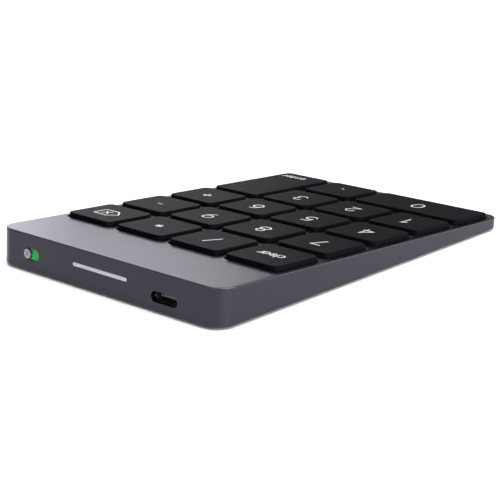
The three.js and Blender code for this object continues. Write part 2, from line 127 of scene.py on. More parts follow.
# ---- Materials ----
class Finish:
    """A node material with the helpers that the finishes below share."""

    def __init__(self, name, color, roughness, metallic=0.0, specular=0.5):
        self.material = bpy.data.materials.new(name)
        self.material.use_nodes = True
        self.tree = self.material.node_tree
        self.shader = self.tree.nodes["Principled BSDF"]
        self.color, self.roughness = color, roughness
        self.shader.inputs["Base Color"].default_value = (*color, 1)
        self.shader.inputs["Roughness"].default_value = roughness
        self.shader.inputs["Metallic"].default_value = metallic
        self.shader.inputs["Specular IOR Level"].default_value = specular
        self.place = self.node("ShaderNodeTexCoord").outputs["Object"]

    def node(self, kind, **settings):
        made = self.tree.nodes.new(kind)
        for key, value in settings.items():
            setattr(made, key, value)
        return made

    def link(self, output, socket):
        self.tree.links.new(output, socket)

    def noise(self, size_mm, detail=2.0, stretch=(1, 1, 1)):
        """Noise whose grains are about size_mm across."""
        scale = self.node("ShaderNodeVectorMath", operation="MULTIPLY")
        self.link(self.place, scale.inputs[0])
        scale.inputs[1].default_value = [1 / (size_mm * MM * factor) for factor in stretch]
        noise = self.node("ShaderNodeTexNoise")
        noise.inputs["Scale"].default_value = 1
        noise.inputs["Detail"].default_value = detail
        self.link(scale.outputs[0], noise.inputs["Vector"])
        return noise.outputs["Fac"]

    def ramp(self, factor, low, high):
        """A factor from 0 to 1 carried to the range low to high."""
        ramp = self.node("ShaderNodeMapRange")
        ramp.inputs["To Min"].default_value = low
        ramp.inputs["To Max"].default_value = high
        self.link(factor, ramp.inputs["Value"])
        return ramp.outputs["Result"]

    def vary_color(self, factor, amount):
        """The base colour a little darker and lighter with the factor."""
        mix = self.node("ShaderNodeMix", data_type="RGBA")
        mix.inputs["A"].default_value = (*[c * (1 - amount) for c in self.color], 1)
        mix.inputs["B"].default_value = (*[min(1, c * (1 + amount)) for c in self.color], 1)
        self.link(factor, mix.inputs["Factor"])
        self.link(mix.outputs["Result"], self.shader.inputs["Base Color"])
        return self

    def vary_roughness(self, factor, amount):
        low, high = self.roughness - amount, self.roughness + amount
        self.link(self.ramp(factor, low, high), self.shader.inputs["Roughness"])
        return self

    def bump(self, factor, depth_mm, strength=1.0):
        bump = self.node("ShaderNodeBump")
        bump.inputs["Strength"].default_value = strength
        bump.inputs["Distance"].default_value = depth_mm * MM
        self.link(factor, bump.inputs["Height"])
        self.link(bump.outputs["Normal"], self.shader.inputs["Normal"])
        return self


COOL_TINT = (0.965, 0.96, 1, 1)


def blasted_aluminium(name, color, roughness):
    """Anodised metal with the fine even grain of blasting."""
    finish = Finish(name, color, roughness, metallic=1.0)
    finish.shader.inputs["Specular Tint"].default_value = COOL_TINT
    finish.vary_color(finish.noise(9, 3), 0.03)
    finish.vary_roughness(finish.noise(0.35, 4), 0.06)
    return finish.bump(finish.noise(0.2, 4), 0.02, 0.5).material


def moulded(name, color, roughness, grain_mm=0.25, depth_mm=0.006, specular=0.5):
    """Plastic or rubber with the grain of its mould."""
    finish = Finish(name, color, roughness, specular=specular)
    finish.vary_color(finish.noise(6, 3), 0.06)
    finish.vary_roughness(finish.noise(1.2, 4), 0.04)
    return finish.bump(finish.noise(grain_mm, 3), depth_mm, 0.5).material


def sheet_metal(name, color, roughness, stretch=(12, 1, 1)):
    """Rolled metal, its grain drawn out along X."""
    finish = Finish(name, color, roughness, metallic=1.0)
    finish.vary_color(finish.noise(2, 3), 0.08)
    finish.vary_roughness(finish.noise(0.3, 3, stretch), 0.07)
    return finish.bump(finish.noise(0.12, 2, stretch), 0.004, 0.4).material


def turned_metal(name, color, roughness):
    """Metal with the fine marks that cutting leaves."""
    finish = Finish(name, color, roughness, metallic=1.0)
    finish.vary_roughness(finish.noise(0.3, 3), 0.05)
    return finish.bump(finish.noise(0.08, 2), 0.003, 0.4).material


def frosted(name, color, roughness, transmission):
    """Plastic that lets some light through."""
    finish = Finish(name, color, roughness)
    finish.shader.inputs["Transmission Weight"].default_value = transmission
    finish.vary_roughness(finish.noise(0.6, 3), 0.05)
    return finish.bump(finish.noise(0.2, 2), 0.003, 0.4).material


ANODISED = blasted_aluminium("anodised_case", (0.0375, 0.036, 0.0465), 0.31)
# A lighter copy of the case finish for its broken edges: a painted highlight along the edges.
ANODISED_PAINTED_HIGHLIGHT = blasted_aluminium("anodised_edge_painted_highlight", (0.075, 0.073, 0.086), 0.36)
KEYCAP = moulded("keycap_black", (0.0034, 0.0033, 0.005), 0.42, 0.24, 0.014, 0.014)
WHITE_PRINT = moulded("legend_white", (0.6, 0.6, 0.62), 0.6, 0.15, 0.002, 0.3)
WHITE_NYLON = moulded("scissor_nylon", (0.7, 0.7, 0.67), 0.45)
DOME_RUBBER = moulded("dome_silicone", (0.5, 0.5, 0.46), 0.6)
SHEET_RUBBER = moulded("sheet_rubber", (0.02, 0.02, 0.022), 0.65)
FILM = moulded("membrane_film", (0.33, 0.37, 0.39), 0.3)
PLATE_STEEL = sheet_metal("plate_steel", (0.52, 0.52, 0.53), 0.35)
WIRE_STEEL = sheet_metal("wire_steel", (0.55, 0.55, 0.56), 0.25)
SHELL_STEEL = sheet_metal("shell_steel", (0.42, 0.42, 0.43), 0.28)
CAN_METAL = sheet_metal("can_metal", (0.6, 0.6, 0.6), 0.3)
SCREW_METAL = turned_metal("screw_black", (0.05, 0.05, 0.055), 0.38)
BOARD_GREEN = moulded("board_mask", (0.01, 0.04, 0.022), 0.35, 0.5, 0.01)
POUCH = sheet_metal("pouch_foil", (0.55, 0.55, 0.57), 0.38, (1, 1, 1))
BLACK_PLASTIC = moulded("black_plastic", (0.012, 0.012, 0.013), 0.45)
TONGUE_PLASTIC = moulded("tongue_plastic", (0.12, 0.115, 0.13), 0.4)
WINDOW_PLASTIC = moulded("window_plastic", (0.4, 0.39, 0.44), 0.45, 0.2, 0.002, 0.3)
KNOB_METAL = turned_metal("knob_silver", (0.3, 0.29, 0.32), 0.35)
LIGHT_PIPE = frosted("light_pipe", (0.03, 0.03, 0.032), 0.3, 0.3)
ON_GREEN = moulded("on_green", (0.01, 0.3, 0.055), 0.45, 0.3, 0.002, 0.3)
FOOT_RUBBER = moulded("foot_rubber", (0.02, 0.02, 0.021), 0.8, 0.3, 0.012, 0.3)
PART_TAN = moulded("part_tan", (0.28, 0.2, 0.12), 0.5)
WIRE_RED = moulded("wire_red", (0.35, 0.015, 0.01), 0.4)
GOLD = sheet_metal("contact_gold", (0.75, 0.55, 0.2), 0.25)


# ---- Mesh helpers ----
def rounded(width, height, radius, x=0.0, y=0.0, steps=10):
    """Anticlockwise outline of a rounded rectangle, with the same count at every size."""
    outline = []
    corners = [(1, -1, -90), (1, 1, 0), (-1, 1, 90), (-1, -1, 180)]
    for side_x, side_y, start in corners:
        centre_x = x + side_x * (width / 2 - radius)
        centre_y = y + side_y * (height / 2 - radius)
        for step in range(steps + 1):
            angle = math.radians(start + 90 * step / steps)
            point = (centre_x + radius * math.cos(angle), centre_y + radius * math.sin(angle))
            outline.append(point)
    return outline


def circle(radius, x=0.0, y=0.0, steps=32):
    turn = [2 * math.pi * step / steps for step in range(steps)]
    return [(x + radius * math.cos(a), y + radius * math.sin(a)) for a in turn]


def quarter(steps):
    """Shares of a fillet from its flat face to its side: (outwards, downwards)."""
    angles = [math.pi / 2 * step / steps for step in range(steps + 1)]
    return [(math.sin(a), 1 - math.cos(a)) for a in angles]


def rising(steps):
    """The same shares from the side up to the flat face."""
    return reversed(quarter(steps))


class Solid:
    """Rings of points and the faces between them."""

    def __init__(self):
        self.points = []
        self.faces = []
        self.slots = []
        self.slot = 0

    def face(self, indices):
        self.faces.append(tuple(indices))
        self.slots.append(self.slot)

    def ring(self, outline, height):
        first = len(self.points)
        for u, v in outline:
            level = height(u, v) if callable(height) else height
            self.points.append(Vector((u, v, level)))
        return list(range(first, len(self.points)))

    def bridge(self, one, other, skip=()):
        count = len(one)
        for i in range(count):
            if i not in skip:
                j = (i + 1) % count
                self.face((one[i], one[j], other[j], other[i]))

    def loop(self, points):
        """A ring of points that don't share one height."""
        first = len(self.points)
        self.points += [Vector(point) for point in points]
        return list(range(first, len(self.points)))

    def join(self, rings):
        """Walls from each ring to the next."""
        for one, other in zip(rings, rings[1:]):
            self.bridge(one, other)

    def stack(self, layers, closed=(False, False)):
        """Rings joined one to the next, each given as (outline, height)."""
        rings = [self.ring(outline, height) for outline, height in layers]
        self.join(rings)
        if closed[0]:
            self.face(rings[0])
        if closed[1]:
            self.face(rings[-1])
        return rings

    def move(self, first, shape):
        """Carries every point from the first one on to where shape says."""
        self.points[first:] = [shape(point) for point in self.points[first:]]

    def fill(self, loops, axes=(0, 1)):
        """A flat face with holes: the first loop is its outline."""
        u, v = axes
        flat = [[Vector((self.points[i][u], self.points[i][v], 0)) for i in loop] for loop in loops]
        order = [i for loop in loops for i in loop]
        for triangle in geometry.tessellate_polygon(flat):
            self.face([order[i] for i in triangle])


SHARP_ANGLE = math.radians(38)
MERGE_DISTANCE = 1e-8


def finish_mesh(mesh, materials):
    for material in materials:
        mesh.materials.append(material)
    mesh.shade_smooth()
    mesh.set_sharp_from_angle(angle=SHARP_ANGLE)


def tidy_faces(mesh):
    """Merges a mesh's close points and turns its faces outwards."""
    work = bmesh.new()
    work.from_mesh(mesh)
    bmesh.ops.remove_doubles(work, verts=work.verts, dist=MERGE_DISTANCE)
    bmesh.ops.recalc_face_normals(work, faces=work.faces)
    work.to_mesh(mesh)
    work.free()


def add_object(name, mesh, body, replaced=()):
    made = bpy.data.objects.new(name, mesh)
    bpy.context.scene.collection.objects.link(made)
    weighted = made.modifiers.new("even_normals", "WEIGHTED_NORMAL")
    weighted.keep_sharp = True
    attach(made, body)
    if replaced:
        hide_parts(*replaced)
    return made


def build(name, solid, materials, body="root", replaced=(), place=DECK, shape=None):
    """Makes an object of a Solid. shape carries its (u, v, w) points into the place's frame."""
    points = [shape(point) if shape else point for point in solid.points]
    mesh = bpy.data.meshes.new(name)
    mesh.from_pydata([place @ point for point in points], [], solid.faces)
    mesh.polygons.foreach_set("material_index", solid.slots)
    tidy_faces(mesh)
    finish_mesh(mesh, materials)
    return add_object(name, mesh, body, replaced)


def plug(outline_at, low, high, edge, steps=4):
    """A closed slab with a rounded upper edge. outline_at(inset) gives its outline."""
    solid = Solid()
    layers = [(outline_at(0), low)]
    layers += [(outline_at(edge * (1 - out)), high - edge * down) for out, down in rising(steps)]
    solid.stack(layers, (True, True))
    return solid


def tube(solid, one, other, low, high):
    """A closed frame between two outlines of the same count."""
    rings = [solid.ring(one, low), solid.ring(one, high), solid.ring(other, high), solid.ring(other, low)]
    solid.join(rings + rings[:1])


def on_rear(point):
    """A point drawn on the rear wall, (right, up, outwards), in the deck frame."""
    return Vector((point.x, REAR + point.z, point.y))


# ---- Case ----
KEY_BOXES = {name: deck_box(f"key_{name}") for name in KEY_NAMES}


def key_outline(name, grow=0.0, steps=8):
    low, high = KEY_BOXES[name]
    return rounded(
        high.x - low.x + 2 * grow, high.y - low.y + 2 * grow, KEY_CORNER + grow,
        (low.x + high.x) / 2, (low.y + high.y) / 2, steps)


CORNER_STEPS = 14
REAR_FLAT = 2 * (CORNER_STEPS + 1) - 1


def case_outline(inset):
    """The case's outline. Its straight rear side runs from point REAR_FLAT to the next one."""
    return rounded(
        CASE_WIDTH - 2 * inset, CASE_LENGTH - 2 * inset, CASE_CORNER - inset, 0, CASE_MIDDLE,
        CORNER_STEPS)


# Openings in the rear wall, with their middles in the deck frame's x and z.
PORT = {"x": -21.6, "z": -6.0, "width": 8.5, "height": 2.7, "corner": 1.34}
SWITCH = {"x": 25.7, "z": -5.1, "width": 5.8, "height": 3.1, "corner": 1.54}
BAR = {"width": 19.2, "height": 1.05, "corner": 0.5}
BAR["x"], _, BAR["z"] = middle(deck_box("antenna_window"))


def rear_outline(sizes, inset=0.0, steps=10):
    """The outline of an opening or piece on the rear wall, drawn in by the inset all round."""
    return rounded(
        sizes["width"] - 2 * inset, sizes["height"] - 2 * inset, sizes["corner"] - inset,
        sizes["x"], sizes["z"], steps)


LIGHT_HOLE = {"radius": 0.55, "edge": 0.06}


def case_walls(case):
    """The top edge's fillet, the outer walls, the rim with its ledge, and the inner walls."""
    # The top edge's fillet takes the lighter edge finish, a painted highlight.
    case.slot = 1
    fillet = [
        (case_outline(CASE_EDGE * (1 - out)), -CASE_EDGE * down) for out, down in quarter(4)]
    edge_rings = case.stack(fillet)
    foot = case.ring(case_outline(0), lambda x, y: underside(x, y, RIM_EDGE))
    case.slot = 0
    case.bridge(edge_rings[-1], foot, skip=[REAR_FLAT])
    rim = [foot, case.ring(case_outline(RIM_EDGE), underside), case.ring(case_outline(RIM), underside)]
    for inset in (RIM, WALL):
        rim.append(case.ring(case_outline(inset), lambda x, y: underside(x, y, LEDGE)))
    case.join(rim)
    ceiling = case.ring(case_outline(WALL), -DECK_THICKNESS)
    case.bridge(rim[-1], ceiling, skip=[REAR_FLAT])
    return edge_rings, foot, rim[-1], ceiling


def deck_openings(case):
    """The key openings and the status light's hole, each with a broken edge."""
    light = middle(deck_box("status_light_pipe"))
    cuts = [
        (key_outline(name, KEY_CLEARANCE + OPENING_EDGE), key_outline(name, KEY_CLEARANCE), OPENING_EDGE)
        for name in KEY_NAMES]
    radius, edge = LIGHT_HOLE["radius"], LIGHT_HOLE["edge"]
    cuts.append((circle(radius + edge, light.x, light.y), circle(radius, light.x, light.y), edge))
    tops, bottoms = [], []
    for wide, tight, depth in cuts:
        # The openings' broken edges take the lighter edge finish, a painted highlight.
        case.slot = 1
        outer, inner = case.stack([(wide, 0), (tight, -depth)])
        case.slot = 0
        bottom = case.ring(tight, -DECK_THICKNESS)
        case.bridge(inner, bottom)
        tops.append(outer)
        bottoms.append(bottom)
    return tops, bottoms


def rear_openings(case):
    """The walls of the openings through the rear wall, with their outer and inner loops."""
    outer, inner = [], []
    for sizes in (PORT, BAR, SWITCH):
        rings = [
            case.loop([(x, REAR - depth, z) for x, z in rear_outline(sizes)]) for depth in (0, WALL)]
        case.bridge(*rings)
        outer.append(rings[0])
        inner.append(rings[1])
    return outer, inner


def make_case():
    case = Solid()
    edge_rings, foot, ledge, ceiling = case_walls(case)
    tops, bottoms = deck_openings(case)
    case.fill([edge_rings[0], *tops])
    case.fill([ceiling, *bottoms])
    outer, inner = rear_openings(case)
    first, second = REAR_FLAT, REAR_FLAT + 1
    for upper, lower, holes in ((edge_rings[-1], foot, outer), (ceiling, ledge, inner)):
        wall = [upper[first], upper[second], lower[second], lower[first]]
        case.fill([wall, *holes], axes=(0, 2))
    build(
        "case_shell", case, [ANODISED, ANODISED_PAINTED_HIGHLIGHT], replaced=["top_case"])


make_case()


# ---- Keycaps ----
CAP_EDGE = 0.24
CAP_TAPER = 0.06
CAP_FOOT = 0.1
CAP_WALL = 0.8
CAP_DRAFT = 0.1
CAP_CEILING = 0.75


def make_keycap(name):
    low, high = KEY_BOXES[name]

    def outline(inset):
        return key_outline(name, -inset)

    cap = Solid()
    layers = [(outline(CAP_FOOT), low.z), (outline(0), low.z + CAP_FOOT)]
    layers += [
        (outline(CAP_TAPER + CAP_EDGE * (1 - out)), high.z - CAP_EDGE * down)
        for out, down in rising(5)]
    outside = cap.stack(layers, (False, True))
    hollow = [(outline(CAP_WALL), low.z), (outline(CAP_WALL + CAP_DRAFT), high.z - CAP_CEILING)]
    inside = cap.stack(hollow, (False, True))
    cap.bridge(outside[0], inside[0])
    build(f"cap_{name}", cap, [KEYCAP], f"key_{name}", [f"key_{name}"])


for key in KEY_NAMES:
    make_keycap(key)


# ---- Legends ----
PRINT = 0.012
LAYER = 0.003
STROKE = 0.4
FINE_STROKE = 0.32
LETTER_GAP = 0.12
DIGIT_SIZE = 4.6
ARC_STEP = 15
# The least share of a run's width that a mitre is worked out with, so that sharp turns stay short.
RING_MITRE = 0.3
LINE_MITRE = 0.45


def arc(x, y, rx, ry, start, end):
    """Points along an ellipse, from one angle to another in degrees."""
    count = max(2, round(abs(end - start) / ARC_STEP))
    angles = [math.radians(start + (end - start) * step / count) for step in range(count + 1)]
    return [(x + rx * math.cos(angle), y + ry * math.sin(angle)) for angle in angles]


def turned(strokes, width):
    """The same strokes, half a turn round."""
    return [[(width - x, 1 - y) for x, y in line] for line in strokes]


# Each glyph is its advance and its strokes, drawn for capitals of height 1.
SIX = [arc(0.32, 0.32, 0.32, 0.32, 0, 360), arc(0.58, 0.3, 0.58, 0.7, 180, 100)]
GLYPHS = {
    "0": (0.84, [arc(0.36, 0.5, 0.36, 0.5, 0, 360)]),
    "1": (0.5, [[(0.1, 0.76), (0.36, 1), (0.36, 0)]]),
    "2": (0.8, [[*arc(0.32, 0.7, 0.3, 0.3, 165, -38), (0.02, 0), (0.64, 0)]]),
    "3": (0.8, [[*arc(0.3, 0.75, 0.27, 0.25, 155, -90), *arc(0.3, 0.26, 0.31, 0.26, 90, -155)[1:]]]),
    "4": (0.84, [[(0.5, 0), (0.5, 1), (0, 0.29), (0.68, 0.29)]]),
    "5": (0.8, [[(0.58, 1), (0.12, 1), (0.07, 0.54), *arc(0.3, 0.32, 0.32, 0.32, 122, -155)]]),
    "6": (0.8, SIX),
    "7": (0.76, [[(0, 1), (0.62, 1), (0.2, 0)]]),
    "8": (0.8, [arc(0.32, 0.76, 0.25, 0.24, 0, 360), arc(0.32, 0.26, 0.32, 0.26, 0, 360)]),
    "9": (0.8, turned(SIX, 0.64)),
    "a": (0.76, [arc(0.29, 0.34, 0.28, 0.34, 0, 360), [(0.57, 0.68), (0.57, 0)]]),
    "c": (0.68, [arc(0.3, 0.34, 0.29, 0.34, 48, 312)]),
    "e": (0.78, [[(0.03, 0.36), (0.59, 0.36), *arc(0.31, 0.34, 0.29, 0.34, 8, 315)]]),
    "l": (0.28, [[(0.06, 0), (0.06, 1)]]),
    "n": (0.76, [[(0.06, 0), (0.06, 0.68)], [*arc(0.31, 0.42, 0.25, 0.26, 180, 0), (0.56, 0)]]),
    "r": (0.46, [[(0.06, 0), (0.06, 0.68)], arc(0.32, 0.4, 0.26, 0.27, 180, 82)]),
    "t": (0.54, [[(0.18, 0.92), (0.18, 0.16), *arc(0.34, 0.16, 0.16, 0.16, 180, 275)],
                 [(0, 0.68), (0.4, 0.68)]]),
}


def ribbon(solid, points, width, height):
    """A closed ring of one width and mitred corners, printed along an outline."""
    count = len(points)
    sides = [[], []]
    for i in range(count):
        here = Vector(points[i])
        before = (here - Vector(points[i - 1])).normalized()
        after = (Vector(points[(i + 1) % count]) - here).normalized()
        normal = Vector((-(before + after).y, (before + after).x)).normalized()
        reach = width / 2 / max(RING_MITRE, normal.dot(Vector((-before.y, before.x))))
        sides[0].append(tuple(here + normal * reach))
        sides[1].append(tuple(here - normal * reach))
    inner, outer = sides
    tube(solid, inner, outer, height - PRINT, height + PRINT)


def round_end(end, before, width):
    """The points of a half circle round a line's end."""
    along = end - before
    first = math.atan2(along.y, along.x) - math.pi / 2
    angles = [first + math.pi * step / 8 for step in range(7, 0, -1)]
    return [end + Vector((math.cos(a), math.sin(a))) * width / 2 for a in angles]


def print_line(solid, points, width, height):
    """A flat line of one width with round ends, or a closed ring where its ends meet."""
    points = [Vector(point) for point in points]
    closed = len(points) > 3 and (points[0] - points[-1]).length < 1e-6
    if closed:
        ribbon(solid, points[:-1], width, height)
        return
    left, right = [], []
    for i, here in enumerate(points):
        before = (here - points[i - 1]).normalized() if i else None
        after = (points[i + 1] - here).normalized() if i + 1 < len(points) else None
        along = ((before or after) + (after or before)).normalized()
        normal = Vector((-along.y, along.x))
        run = before or after
        reach = width / 2 / max(LINE_MITRE, normal.dot(Vector((-run.y, run.x))))
        left.append(here + normal * reach)
        right.append(here - normal * reach)
    outline = left + round_end(points[-1], points[-2], width)
    outline += right[::-1] + round_end(points[0], points[1], width)
    low, high = [solid.ring(outline, height + side * PRINT) for side in (-1, 1)]
    solid.bridge(low, high)
    solid.fill([high])


def write(key, text, size, dx, dy, width=STROKE):
    """Text whose capitals have a given size, its middle at dx, dy from the keycap's middle."""
    low, high = KEY_BOXES[key]
    advances = [GLYPHS[letter][0] for letter in text]
    x = (low.x + high.x) / 2 + dx - (sum(advances) - LETTER_GAP) * size / 2
    y = (low.y + high.y) / 2 + dy - size / 2
    solid = Solid()
    for letter, advance in zip(text, advances):
        for layer, line in enumerate(GLYPHS[letter][1]):
            points = [(x + u * size, y + v * size) for u, v in line]
            print_line(solid, points, width, high.z + layer * LAYER)
        x += advance * size
    build(f"legend_{key}", solid, [WHITE_PRINT], f"key_{key}")


def draw(key, lines, dx=0.0, dy=0.5, width=STROKE):
    """Straight strokes about a point at dx, dy from the keycap's middle."""
    low, high = KEY_BOXES[key]
    x, y = (low.x + high.x) / 2 + dx, (low.y + high.y) / 2 + dy
    solid = Solid()
    for layer, line in enumerate(lines):
        print_line(solid, [(x + u, y + v) for u, v in line], width, high.z + layer * LAYER)
    build(f"legend_{key}", solid, [WHITE_PRINT], f"key_{key}")


def backspace_outline(x, y):
    """A box with a pointed left end and two rounded right corners."""
    nose, shoulder, right, half, corner = -3.5, -1.4, 3.5, 2.4, 0.5
    turn = [math.radians(18 * step) for step in range(6)]
    centre_x, rise = x + right - corner, half - corner
    outline = [(x + nose, y), (x + shoulder, y - half)]
    outline += [(centre_x + corner * math.sin(a), y - rise - corner * math.cos(a)) for a in turn]
    outline += [(centre_x + corner * math.cos(a), y + rise + corner * math.sin(a)) for a in turn]
    outline.append((x + shoulder, y + half))
    return outline


def backspace_icon():
    low, high = KEY_BOXES["backspace"]
    x, y = (low.x + high.x) / 2, (low.y + high.y) / 2 + 0.4
    solid = Solid()
    ribbon(solid, backspace_outline(x, y), STROKE, high.z)
    reach, cross_x, cross_stroke = 1.05, x + 0.75, 0.36
    for side in (-1, 1):
        ends = [(cross_x - reach, y - side * reach), (cross_x + reach, y + side * reach)]
        print_line(solid, ends, cross_stroke, high.z + side * LAYER)
    build("legend_backspace", solid, [WHITE_PRINT], "key_backspace")


def make_legends():
    for digit in "123456789":
        write(digit, digit, DIGIT_SIZE, 0, 0.5)
    write("0", "0", DIGIT_SIZE, 0.3, 0.6)
    write("clear", "clear", 2.7, 0.2, 0.2, FINE_STROKE)
    write("enter", "enter", 2.6, 2.15, -12.4, FINE_STROKE)
    spokes = [(math.cos(a), math.sin(a)) for a in (math.pi / 2, math.pi / 6, math.pi * 5 / 6)]
    draw("star", [[(-x, -y), (x, y)] for x, y in spokes], 0, 0.3)
    draw("slash", [[(-1.0, -2.4), (1.0, 2.6)]], 0, 0.4)
    draw("minus", [[(-0.8, 0), (0.8, 0)]], 0, 0.4, FINE_STROKE)
    draw("plus", [[(-1.4, 0), (1.4, 0)], [(0, -1.4), (0, 1.4)]])
    draw("point", [[(-0.02, 0), (0.02, 0)]], 0.3, -1.1, 0.75)
    backspace_icon()


make_legends()


# ---- Scissors and domes ----
SHEET_LOW, SHEET_HIGH = deck_box("membrane_sheet")
DOME_FLOOR = SHEET_HIGH.z + 0.2
DOME_TOP = deck_box("dome_sheet")[1].z
DOME_SHEET = {"thickness": 0.15, "corner": 3, "air_hole": 0.9}
BOSS_HOLE = {"radius": 2.2, "x": 19, "y": -9.5}
SCISSOR_INNER_CORNER = 0.2
SCISSOR = {"thickness": 0.45, "bar": 1.0, "length": 10.4, "narrow": 9.9, "corner": 0.5, "lean": 0.128}
PIVOT = {"radius": 0.2, "length": 1.4, "x": 5.2}


def flattening(made):
    """Gives a piece its own copy of its mesh."""
    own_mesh(made)


def scissor_frame(solid, width, turn):
    """One frame of a scissor, leaning about the pivots."""
    bar, corner, half = SCISSOR["bar"], SCISSOR["corner"], SCISSOR["thickness"] / 2
    outside = rounded(width, SCISSOR["length"], corner, steps=4)
    inside = rounded(width - 2 * bar, SCISSOR["length"] - 2 * bar, SCISSOR_INNER_CORNER, steps=4)
    first = len(solid.points)
    tube(solid, outside, inside, -half, half)
    solid.move(first, lambda point: turn @ point)


def pivot_pin(solid, x, y, z):
    """A pin along X that joins a scissor's two frames."""
    section = circle(PIVOT["radius"], steps=12)
    half = PIVOT["length"] / 2
    first = len(solid.points)
    solid.stack([(section, -half), (section, half)], (True, True))
    solid.move(first, lambda point: Vector((x + point.z, y + point.x, z + point.y)))


def make_scissor(key):
    low, high = deck_box(f"scissor_{key}")
    centre = (low + high) / 2
    solid = Solid()
    for width, lean in ((high.x - low.x, SCISSOR["lean"]), (SCISSOR["narrow"], -SCISSOR["lean"])):
        scissor_frame(solid, width, Matrix.Translation(centre) @ Matrix.Rotation(lean, 4, "X"))
    for side in (-1, 1):
        pivot_pin(solid, centre.x + side * PIVOT["x"], centre.y, centre.z)
    made = build(
        f"scissor_frames_{key}", solid, [WHITE_NYLON], "root", [f"scissor_{key}"])
    flattening(made)


def make_dome(key):
    """A hollow rubber dome: its outer and inner profiles, as radii and heights."""
    centre = middle(KEY_BOXES[key])
    outer = [
        (3.0, DOME_FLOOR), (2.9, DOME_FLOOR + 0.25), (1.9, DOME_TOP - 0.5), (1.45, DOME_TOP - 0.12),
        (1.3, DOME_TOP)]
    inner = [
        (2.6, DOME_FLOOR), (2.55, DOME_FLOOR + 0.2), (1.6, DOME_TOP - 1.0), (0.9, DOME_TOP - 1.05)]
    solid = Solid()
    outer_rings, inner_rings = [
        solid.stack([(circle(radius, centre.x, centre.y, 24), level) for radius, level in profile],
                    (False, True))
        for profile in (outer, inner)]
    solid.bridge(outer_rings[0], inner_rings[0])
    made = build(f"dome_{key}", solid, [DOME_RUBBER], "root")
    flattening(made)


for key in KEY_NAMES:
    make_scissor(key)
    make_dome(key)


def make_dome_sheet():
    """The flat sheet that the domes stand on, with a hole in each dome and round two bosses."""
    size, centre = SHEET_HIGH - SHEET_LOW, middle((SHEET_LOW, SHEET_HIGH))
    outline = rounded(size.x, size.y, DOME_SHEET["corner"], centre.x, centre.y, 6)
    solid = Solid()
    bottom, top = DOME_FLOOR - DOME_SHEET["thickness"], DOME_FLOOR
    unders, overs = [], []
    holes = [
        circle(DOME_SHEET["air_hole"], spot.x, spot.y, 20) for spot in map(middle, KEY_BOXES.values())]
    holes += [
        circle(BOSS_HOLE["radius"], side * BOSS_HOLE["x"], BOSS_HOLE["y"], 20) for side in (-1, 1)]
    for loop in [outline, *holes]:
        under, over = solid.stack([(loop, bottom), (loop, top)])
        unders.append(under)
        overs.append(over)
    solid.fill(unders)
    solid.fill(overs)
    build("dome_base_sheet", solid, [SHEET_RUBBER], "root", ["dome_sheet"])


make_dome_sheet()


# ---- Rear fittings ----
WINDOW_BAR = {"x": BAR["x"], "z": BAR["z"], "width": 19.1, "height": 0.95, "corner": 0.46}
WINDOW_BAR_EDGE = 0.08
PORT_SHELL = {"width": 8.94, "height": 3.16, "wall": 0.3, "lip": 0.08}
TONGUE = {"x": PORT["x"], "z": PORT["z"], "width": 6.7, "height": 0.7, "corner": 0.25}
TONGUE_ROOT = {"x": PORT["x"], "z": PORT["z"], "width": 8.24, "height": 2.46, "corner": 1.22}
TONGUE_EDGE = 0.12
ROOT_EDGE = 0.08
ROOT_DEPTH = 1.4
CONTACT = {"pitch": 0.5, "count": 12, "width": 0.26, "low": 0.34, "high": 0.37}
MARK = {"gap": 0.05, "back": -0.5, "front": -0.46, "edge": 0.02}
KNOB_FLOOR = -0.45
KNOB_EDGE = 0.14
GROOVE = {"width": 0.2, "length": 1.6, "corner": 0.09, "pitch": 0.42, "shorter": 0.35, "depth": 0.07}


def make_window_bar():
    """The plastic bar, just inside its opening."""
    solid = plug(
        lambda inset: rear_outline(WINDOW_BAR, inset, 8), -WALL - 0.1, -0.02, WINDOW_BAR_EDGE)
    build(
        "antenna_bar", solid, [WINDOW_PLASTIC], "root", ["antenna_window"],
        shape=on_rear)


def make_port_shell():
    low, high = deck_box("usb_c_shell")
    front, back = high.y - REAR, low.y - REAR
    lip, wall = PORT_SHELL["lip"], PORT_SHELL["wall"]

    def outline(smaller):
        width, height = PORT_SHELL["width"] - smaller, PORT_SHELL["height"] - smaller
        return rounded(width, height, height / 2 - 0.01, PORT["x"], PORT["z"], 10)

    solid = Solid()
    solid.stack([
        (outline(0), back), (outline(0), front - lip), (outline(lip), front),
        (outline(2 * wall - lip), front), (outline(2 * wall), front - lip),
        (outline(2 * wall), back + wall)], (True, True))
    build("port_shell", solid, [SHELL_STEEL], "root", ["usb_c_shell"], shape=on_rear)


def make_port_tongue():
    low, high = deck_box("usb_c_tongue")
    tip, root = high.y - REAR, low.y - REAR
    tongue = plug(lambda inset: rear_outline(TONGUE, inset, 4), root + 1.0, tip, TONGUE_EDGE, 3)
    base = plug(
        lambda inset: rear_outline(TONGUE_ROOT, inset, 8), root, root + ROOT_DEPTH, ROOT_EDGE, 2)
    for solid, name in ((tongue, "port_tongue"), (base, "port_tongue_root")):
        made = build(name, solid, [TONGUE_PLASTIC], "root", shape=on_rear)
        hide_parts("usb_c_tongue")
    contacts = Solid()
    half = CONTACT["width"] / 2
    for index in range(CONTACT["count"]):
        x = PORT["x"] + (index - (CONTACT["count"] - 1) / 2) * CONTACT["pitch"]
        for face in (-1, 1):
            low_z, high_z = sorted(PORT["z"] + face * CONTACT[level] for level in ("low", "high"))
            outline = [(x - half, low_z), (x + half, low_z), (x + half, high_z), (x - half, high_z)]
            contacts.stack([(outline, root + 1.5), (outline, tip - 0.3)], (True, True))
    build("port_contacts", contacts, [GOLD], "root", shape=on_rear)


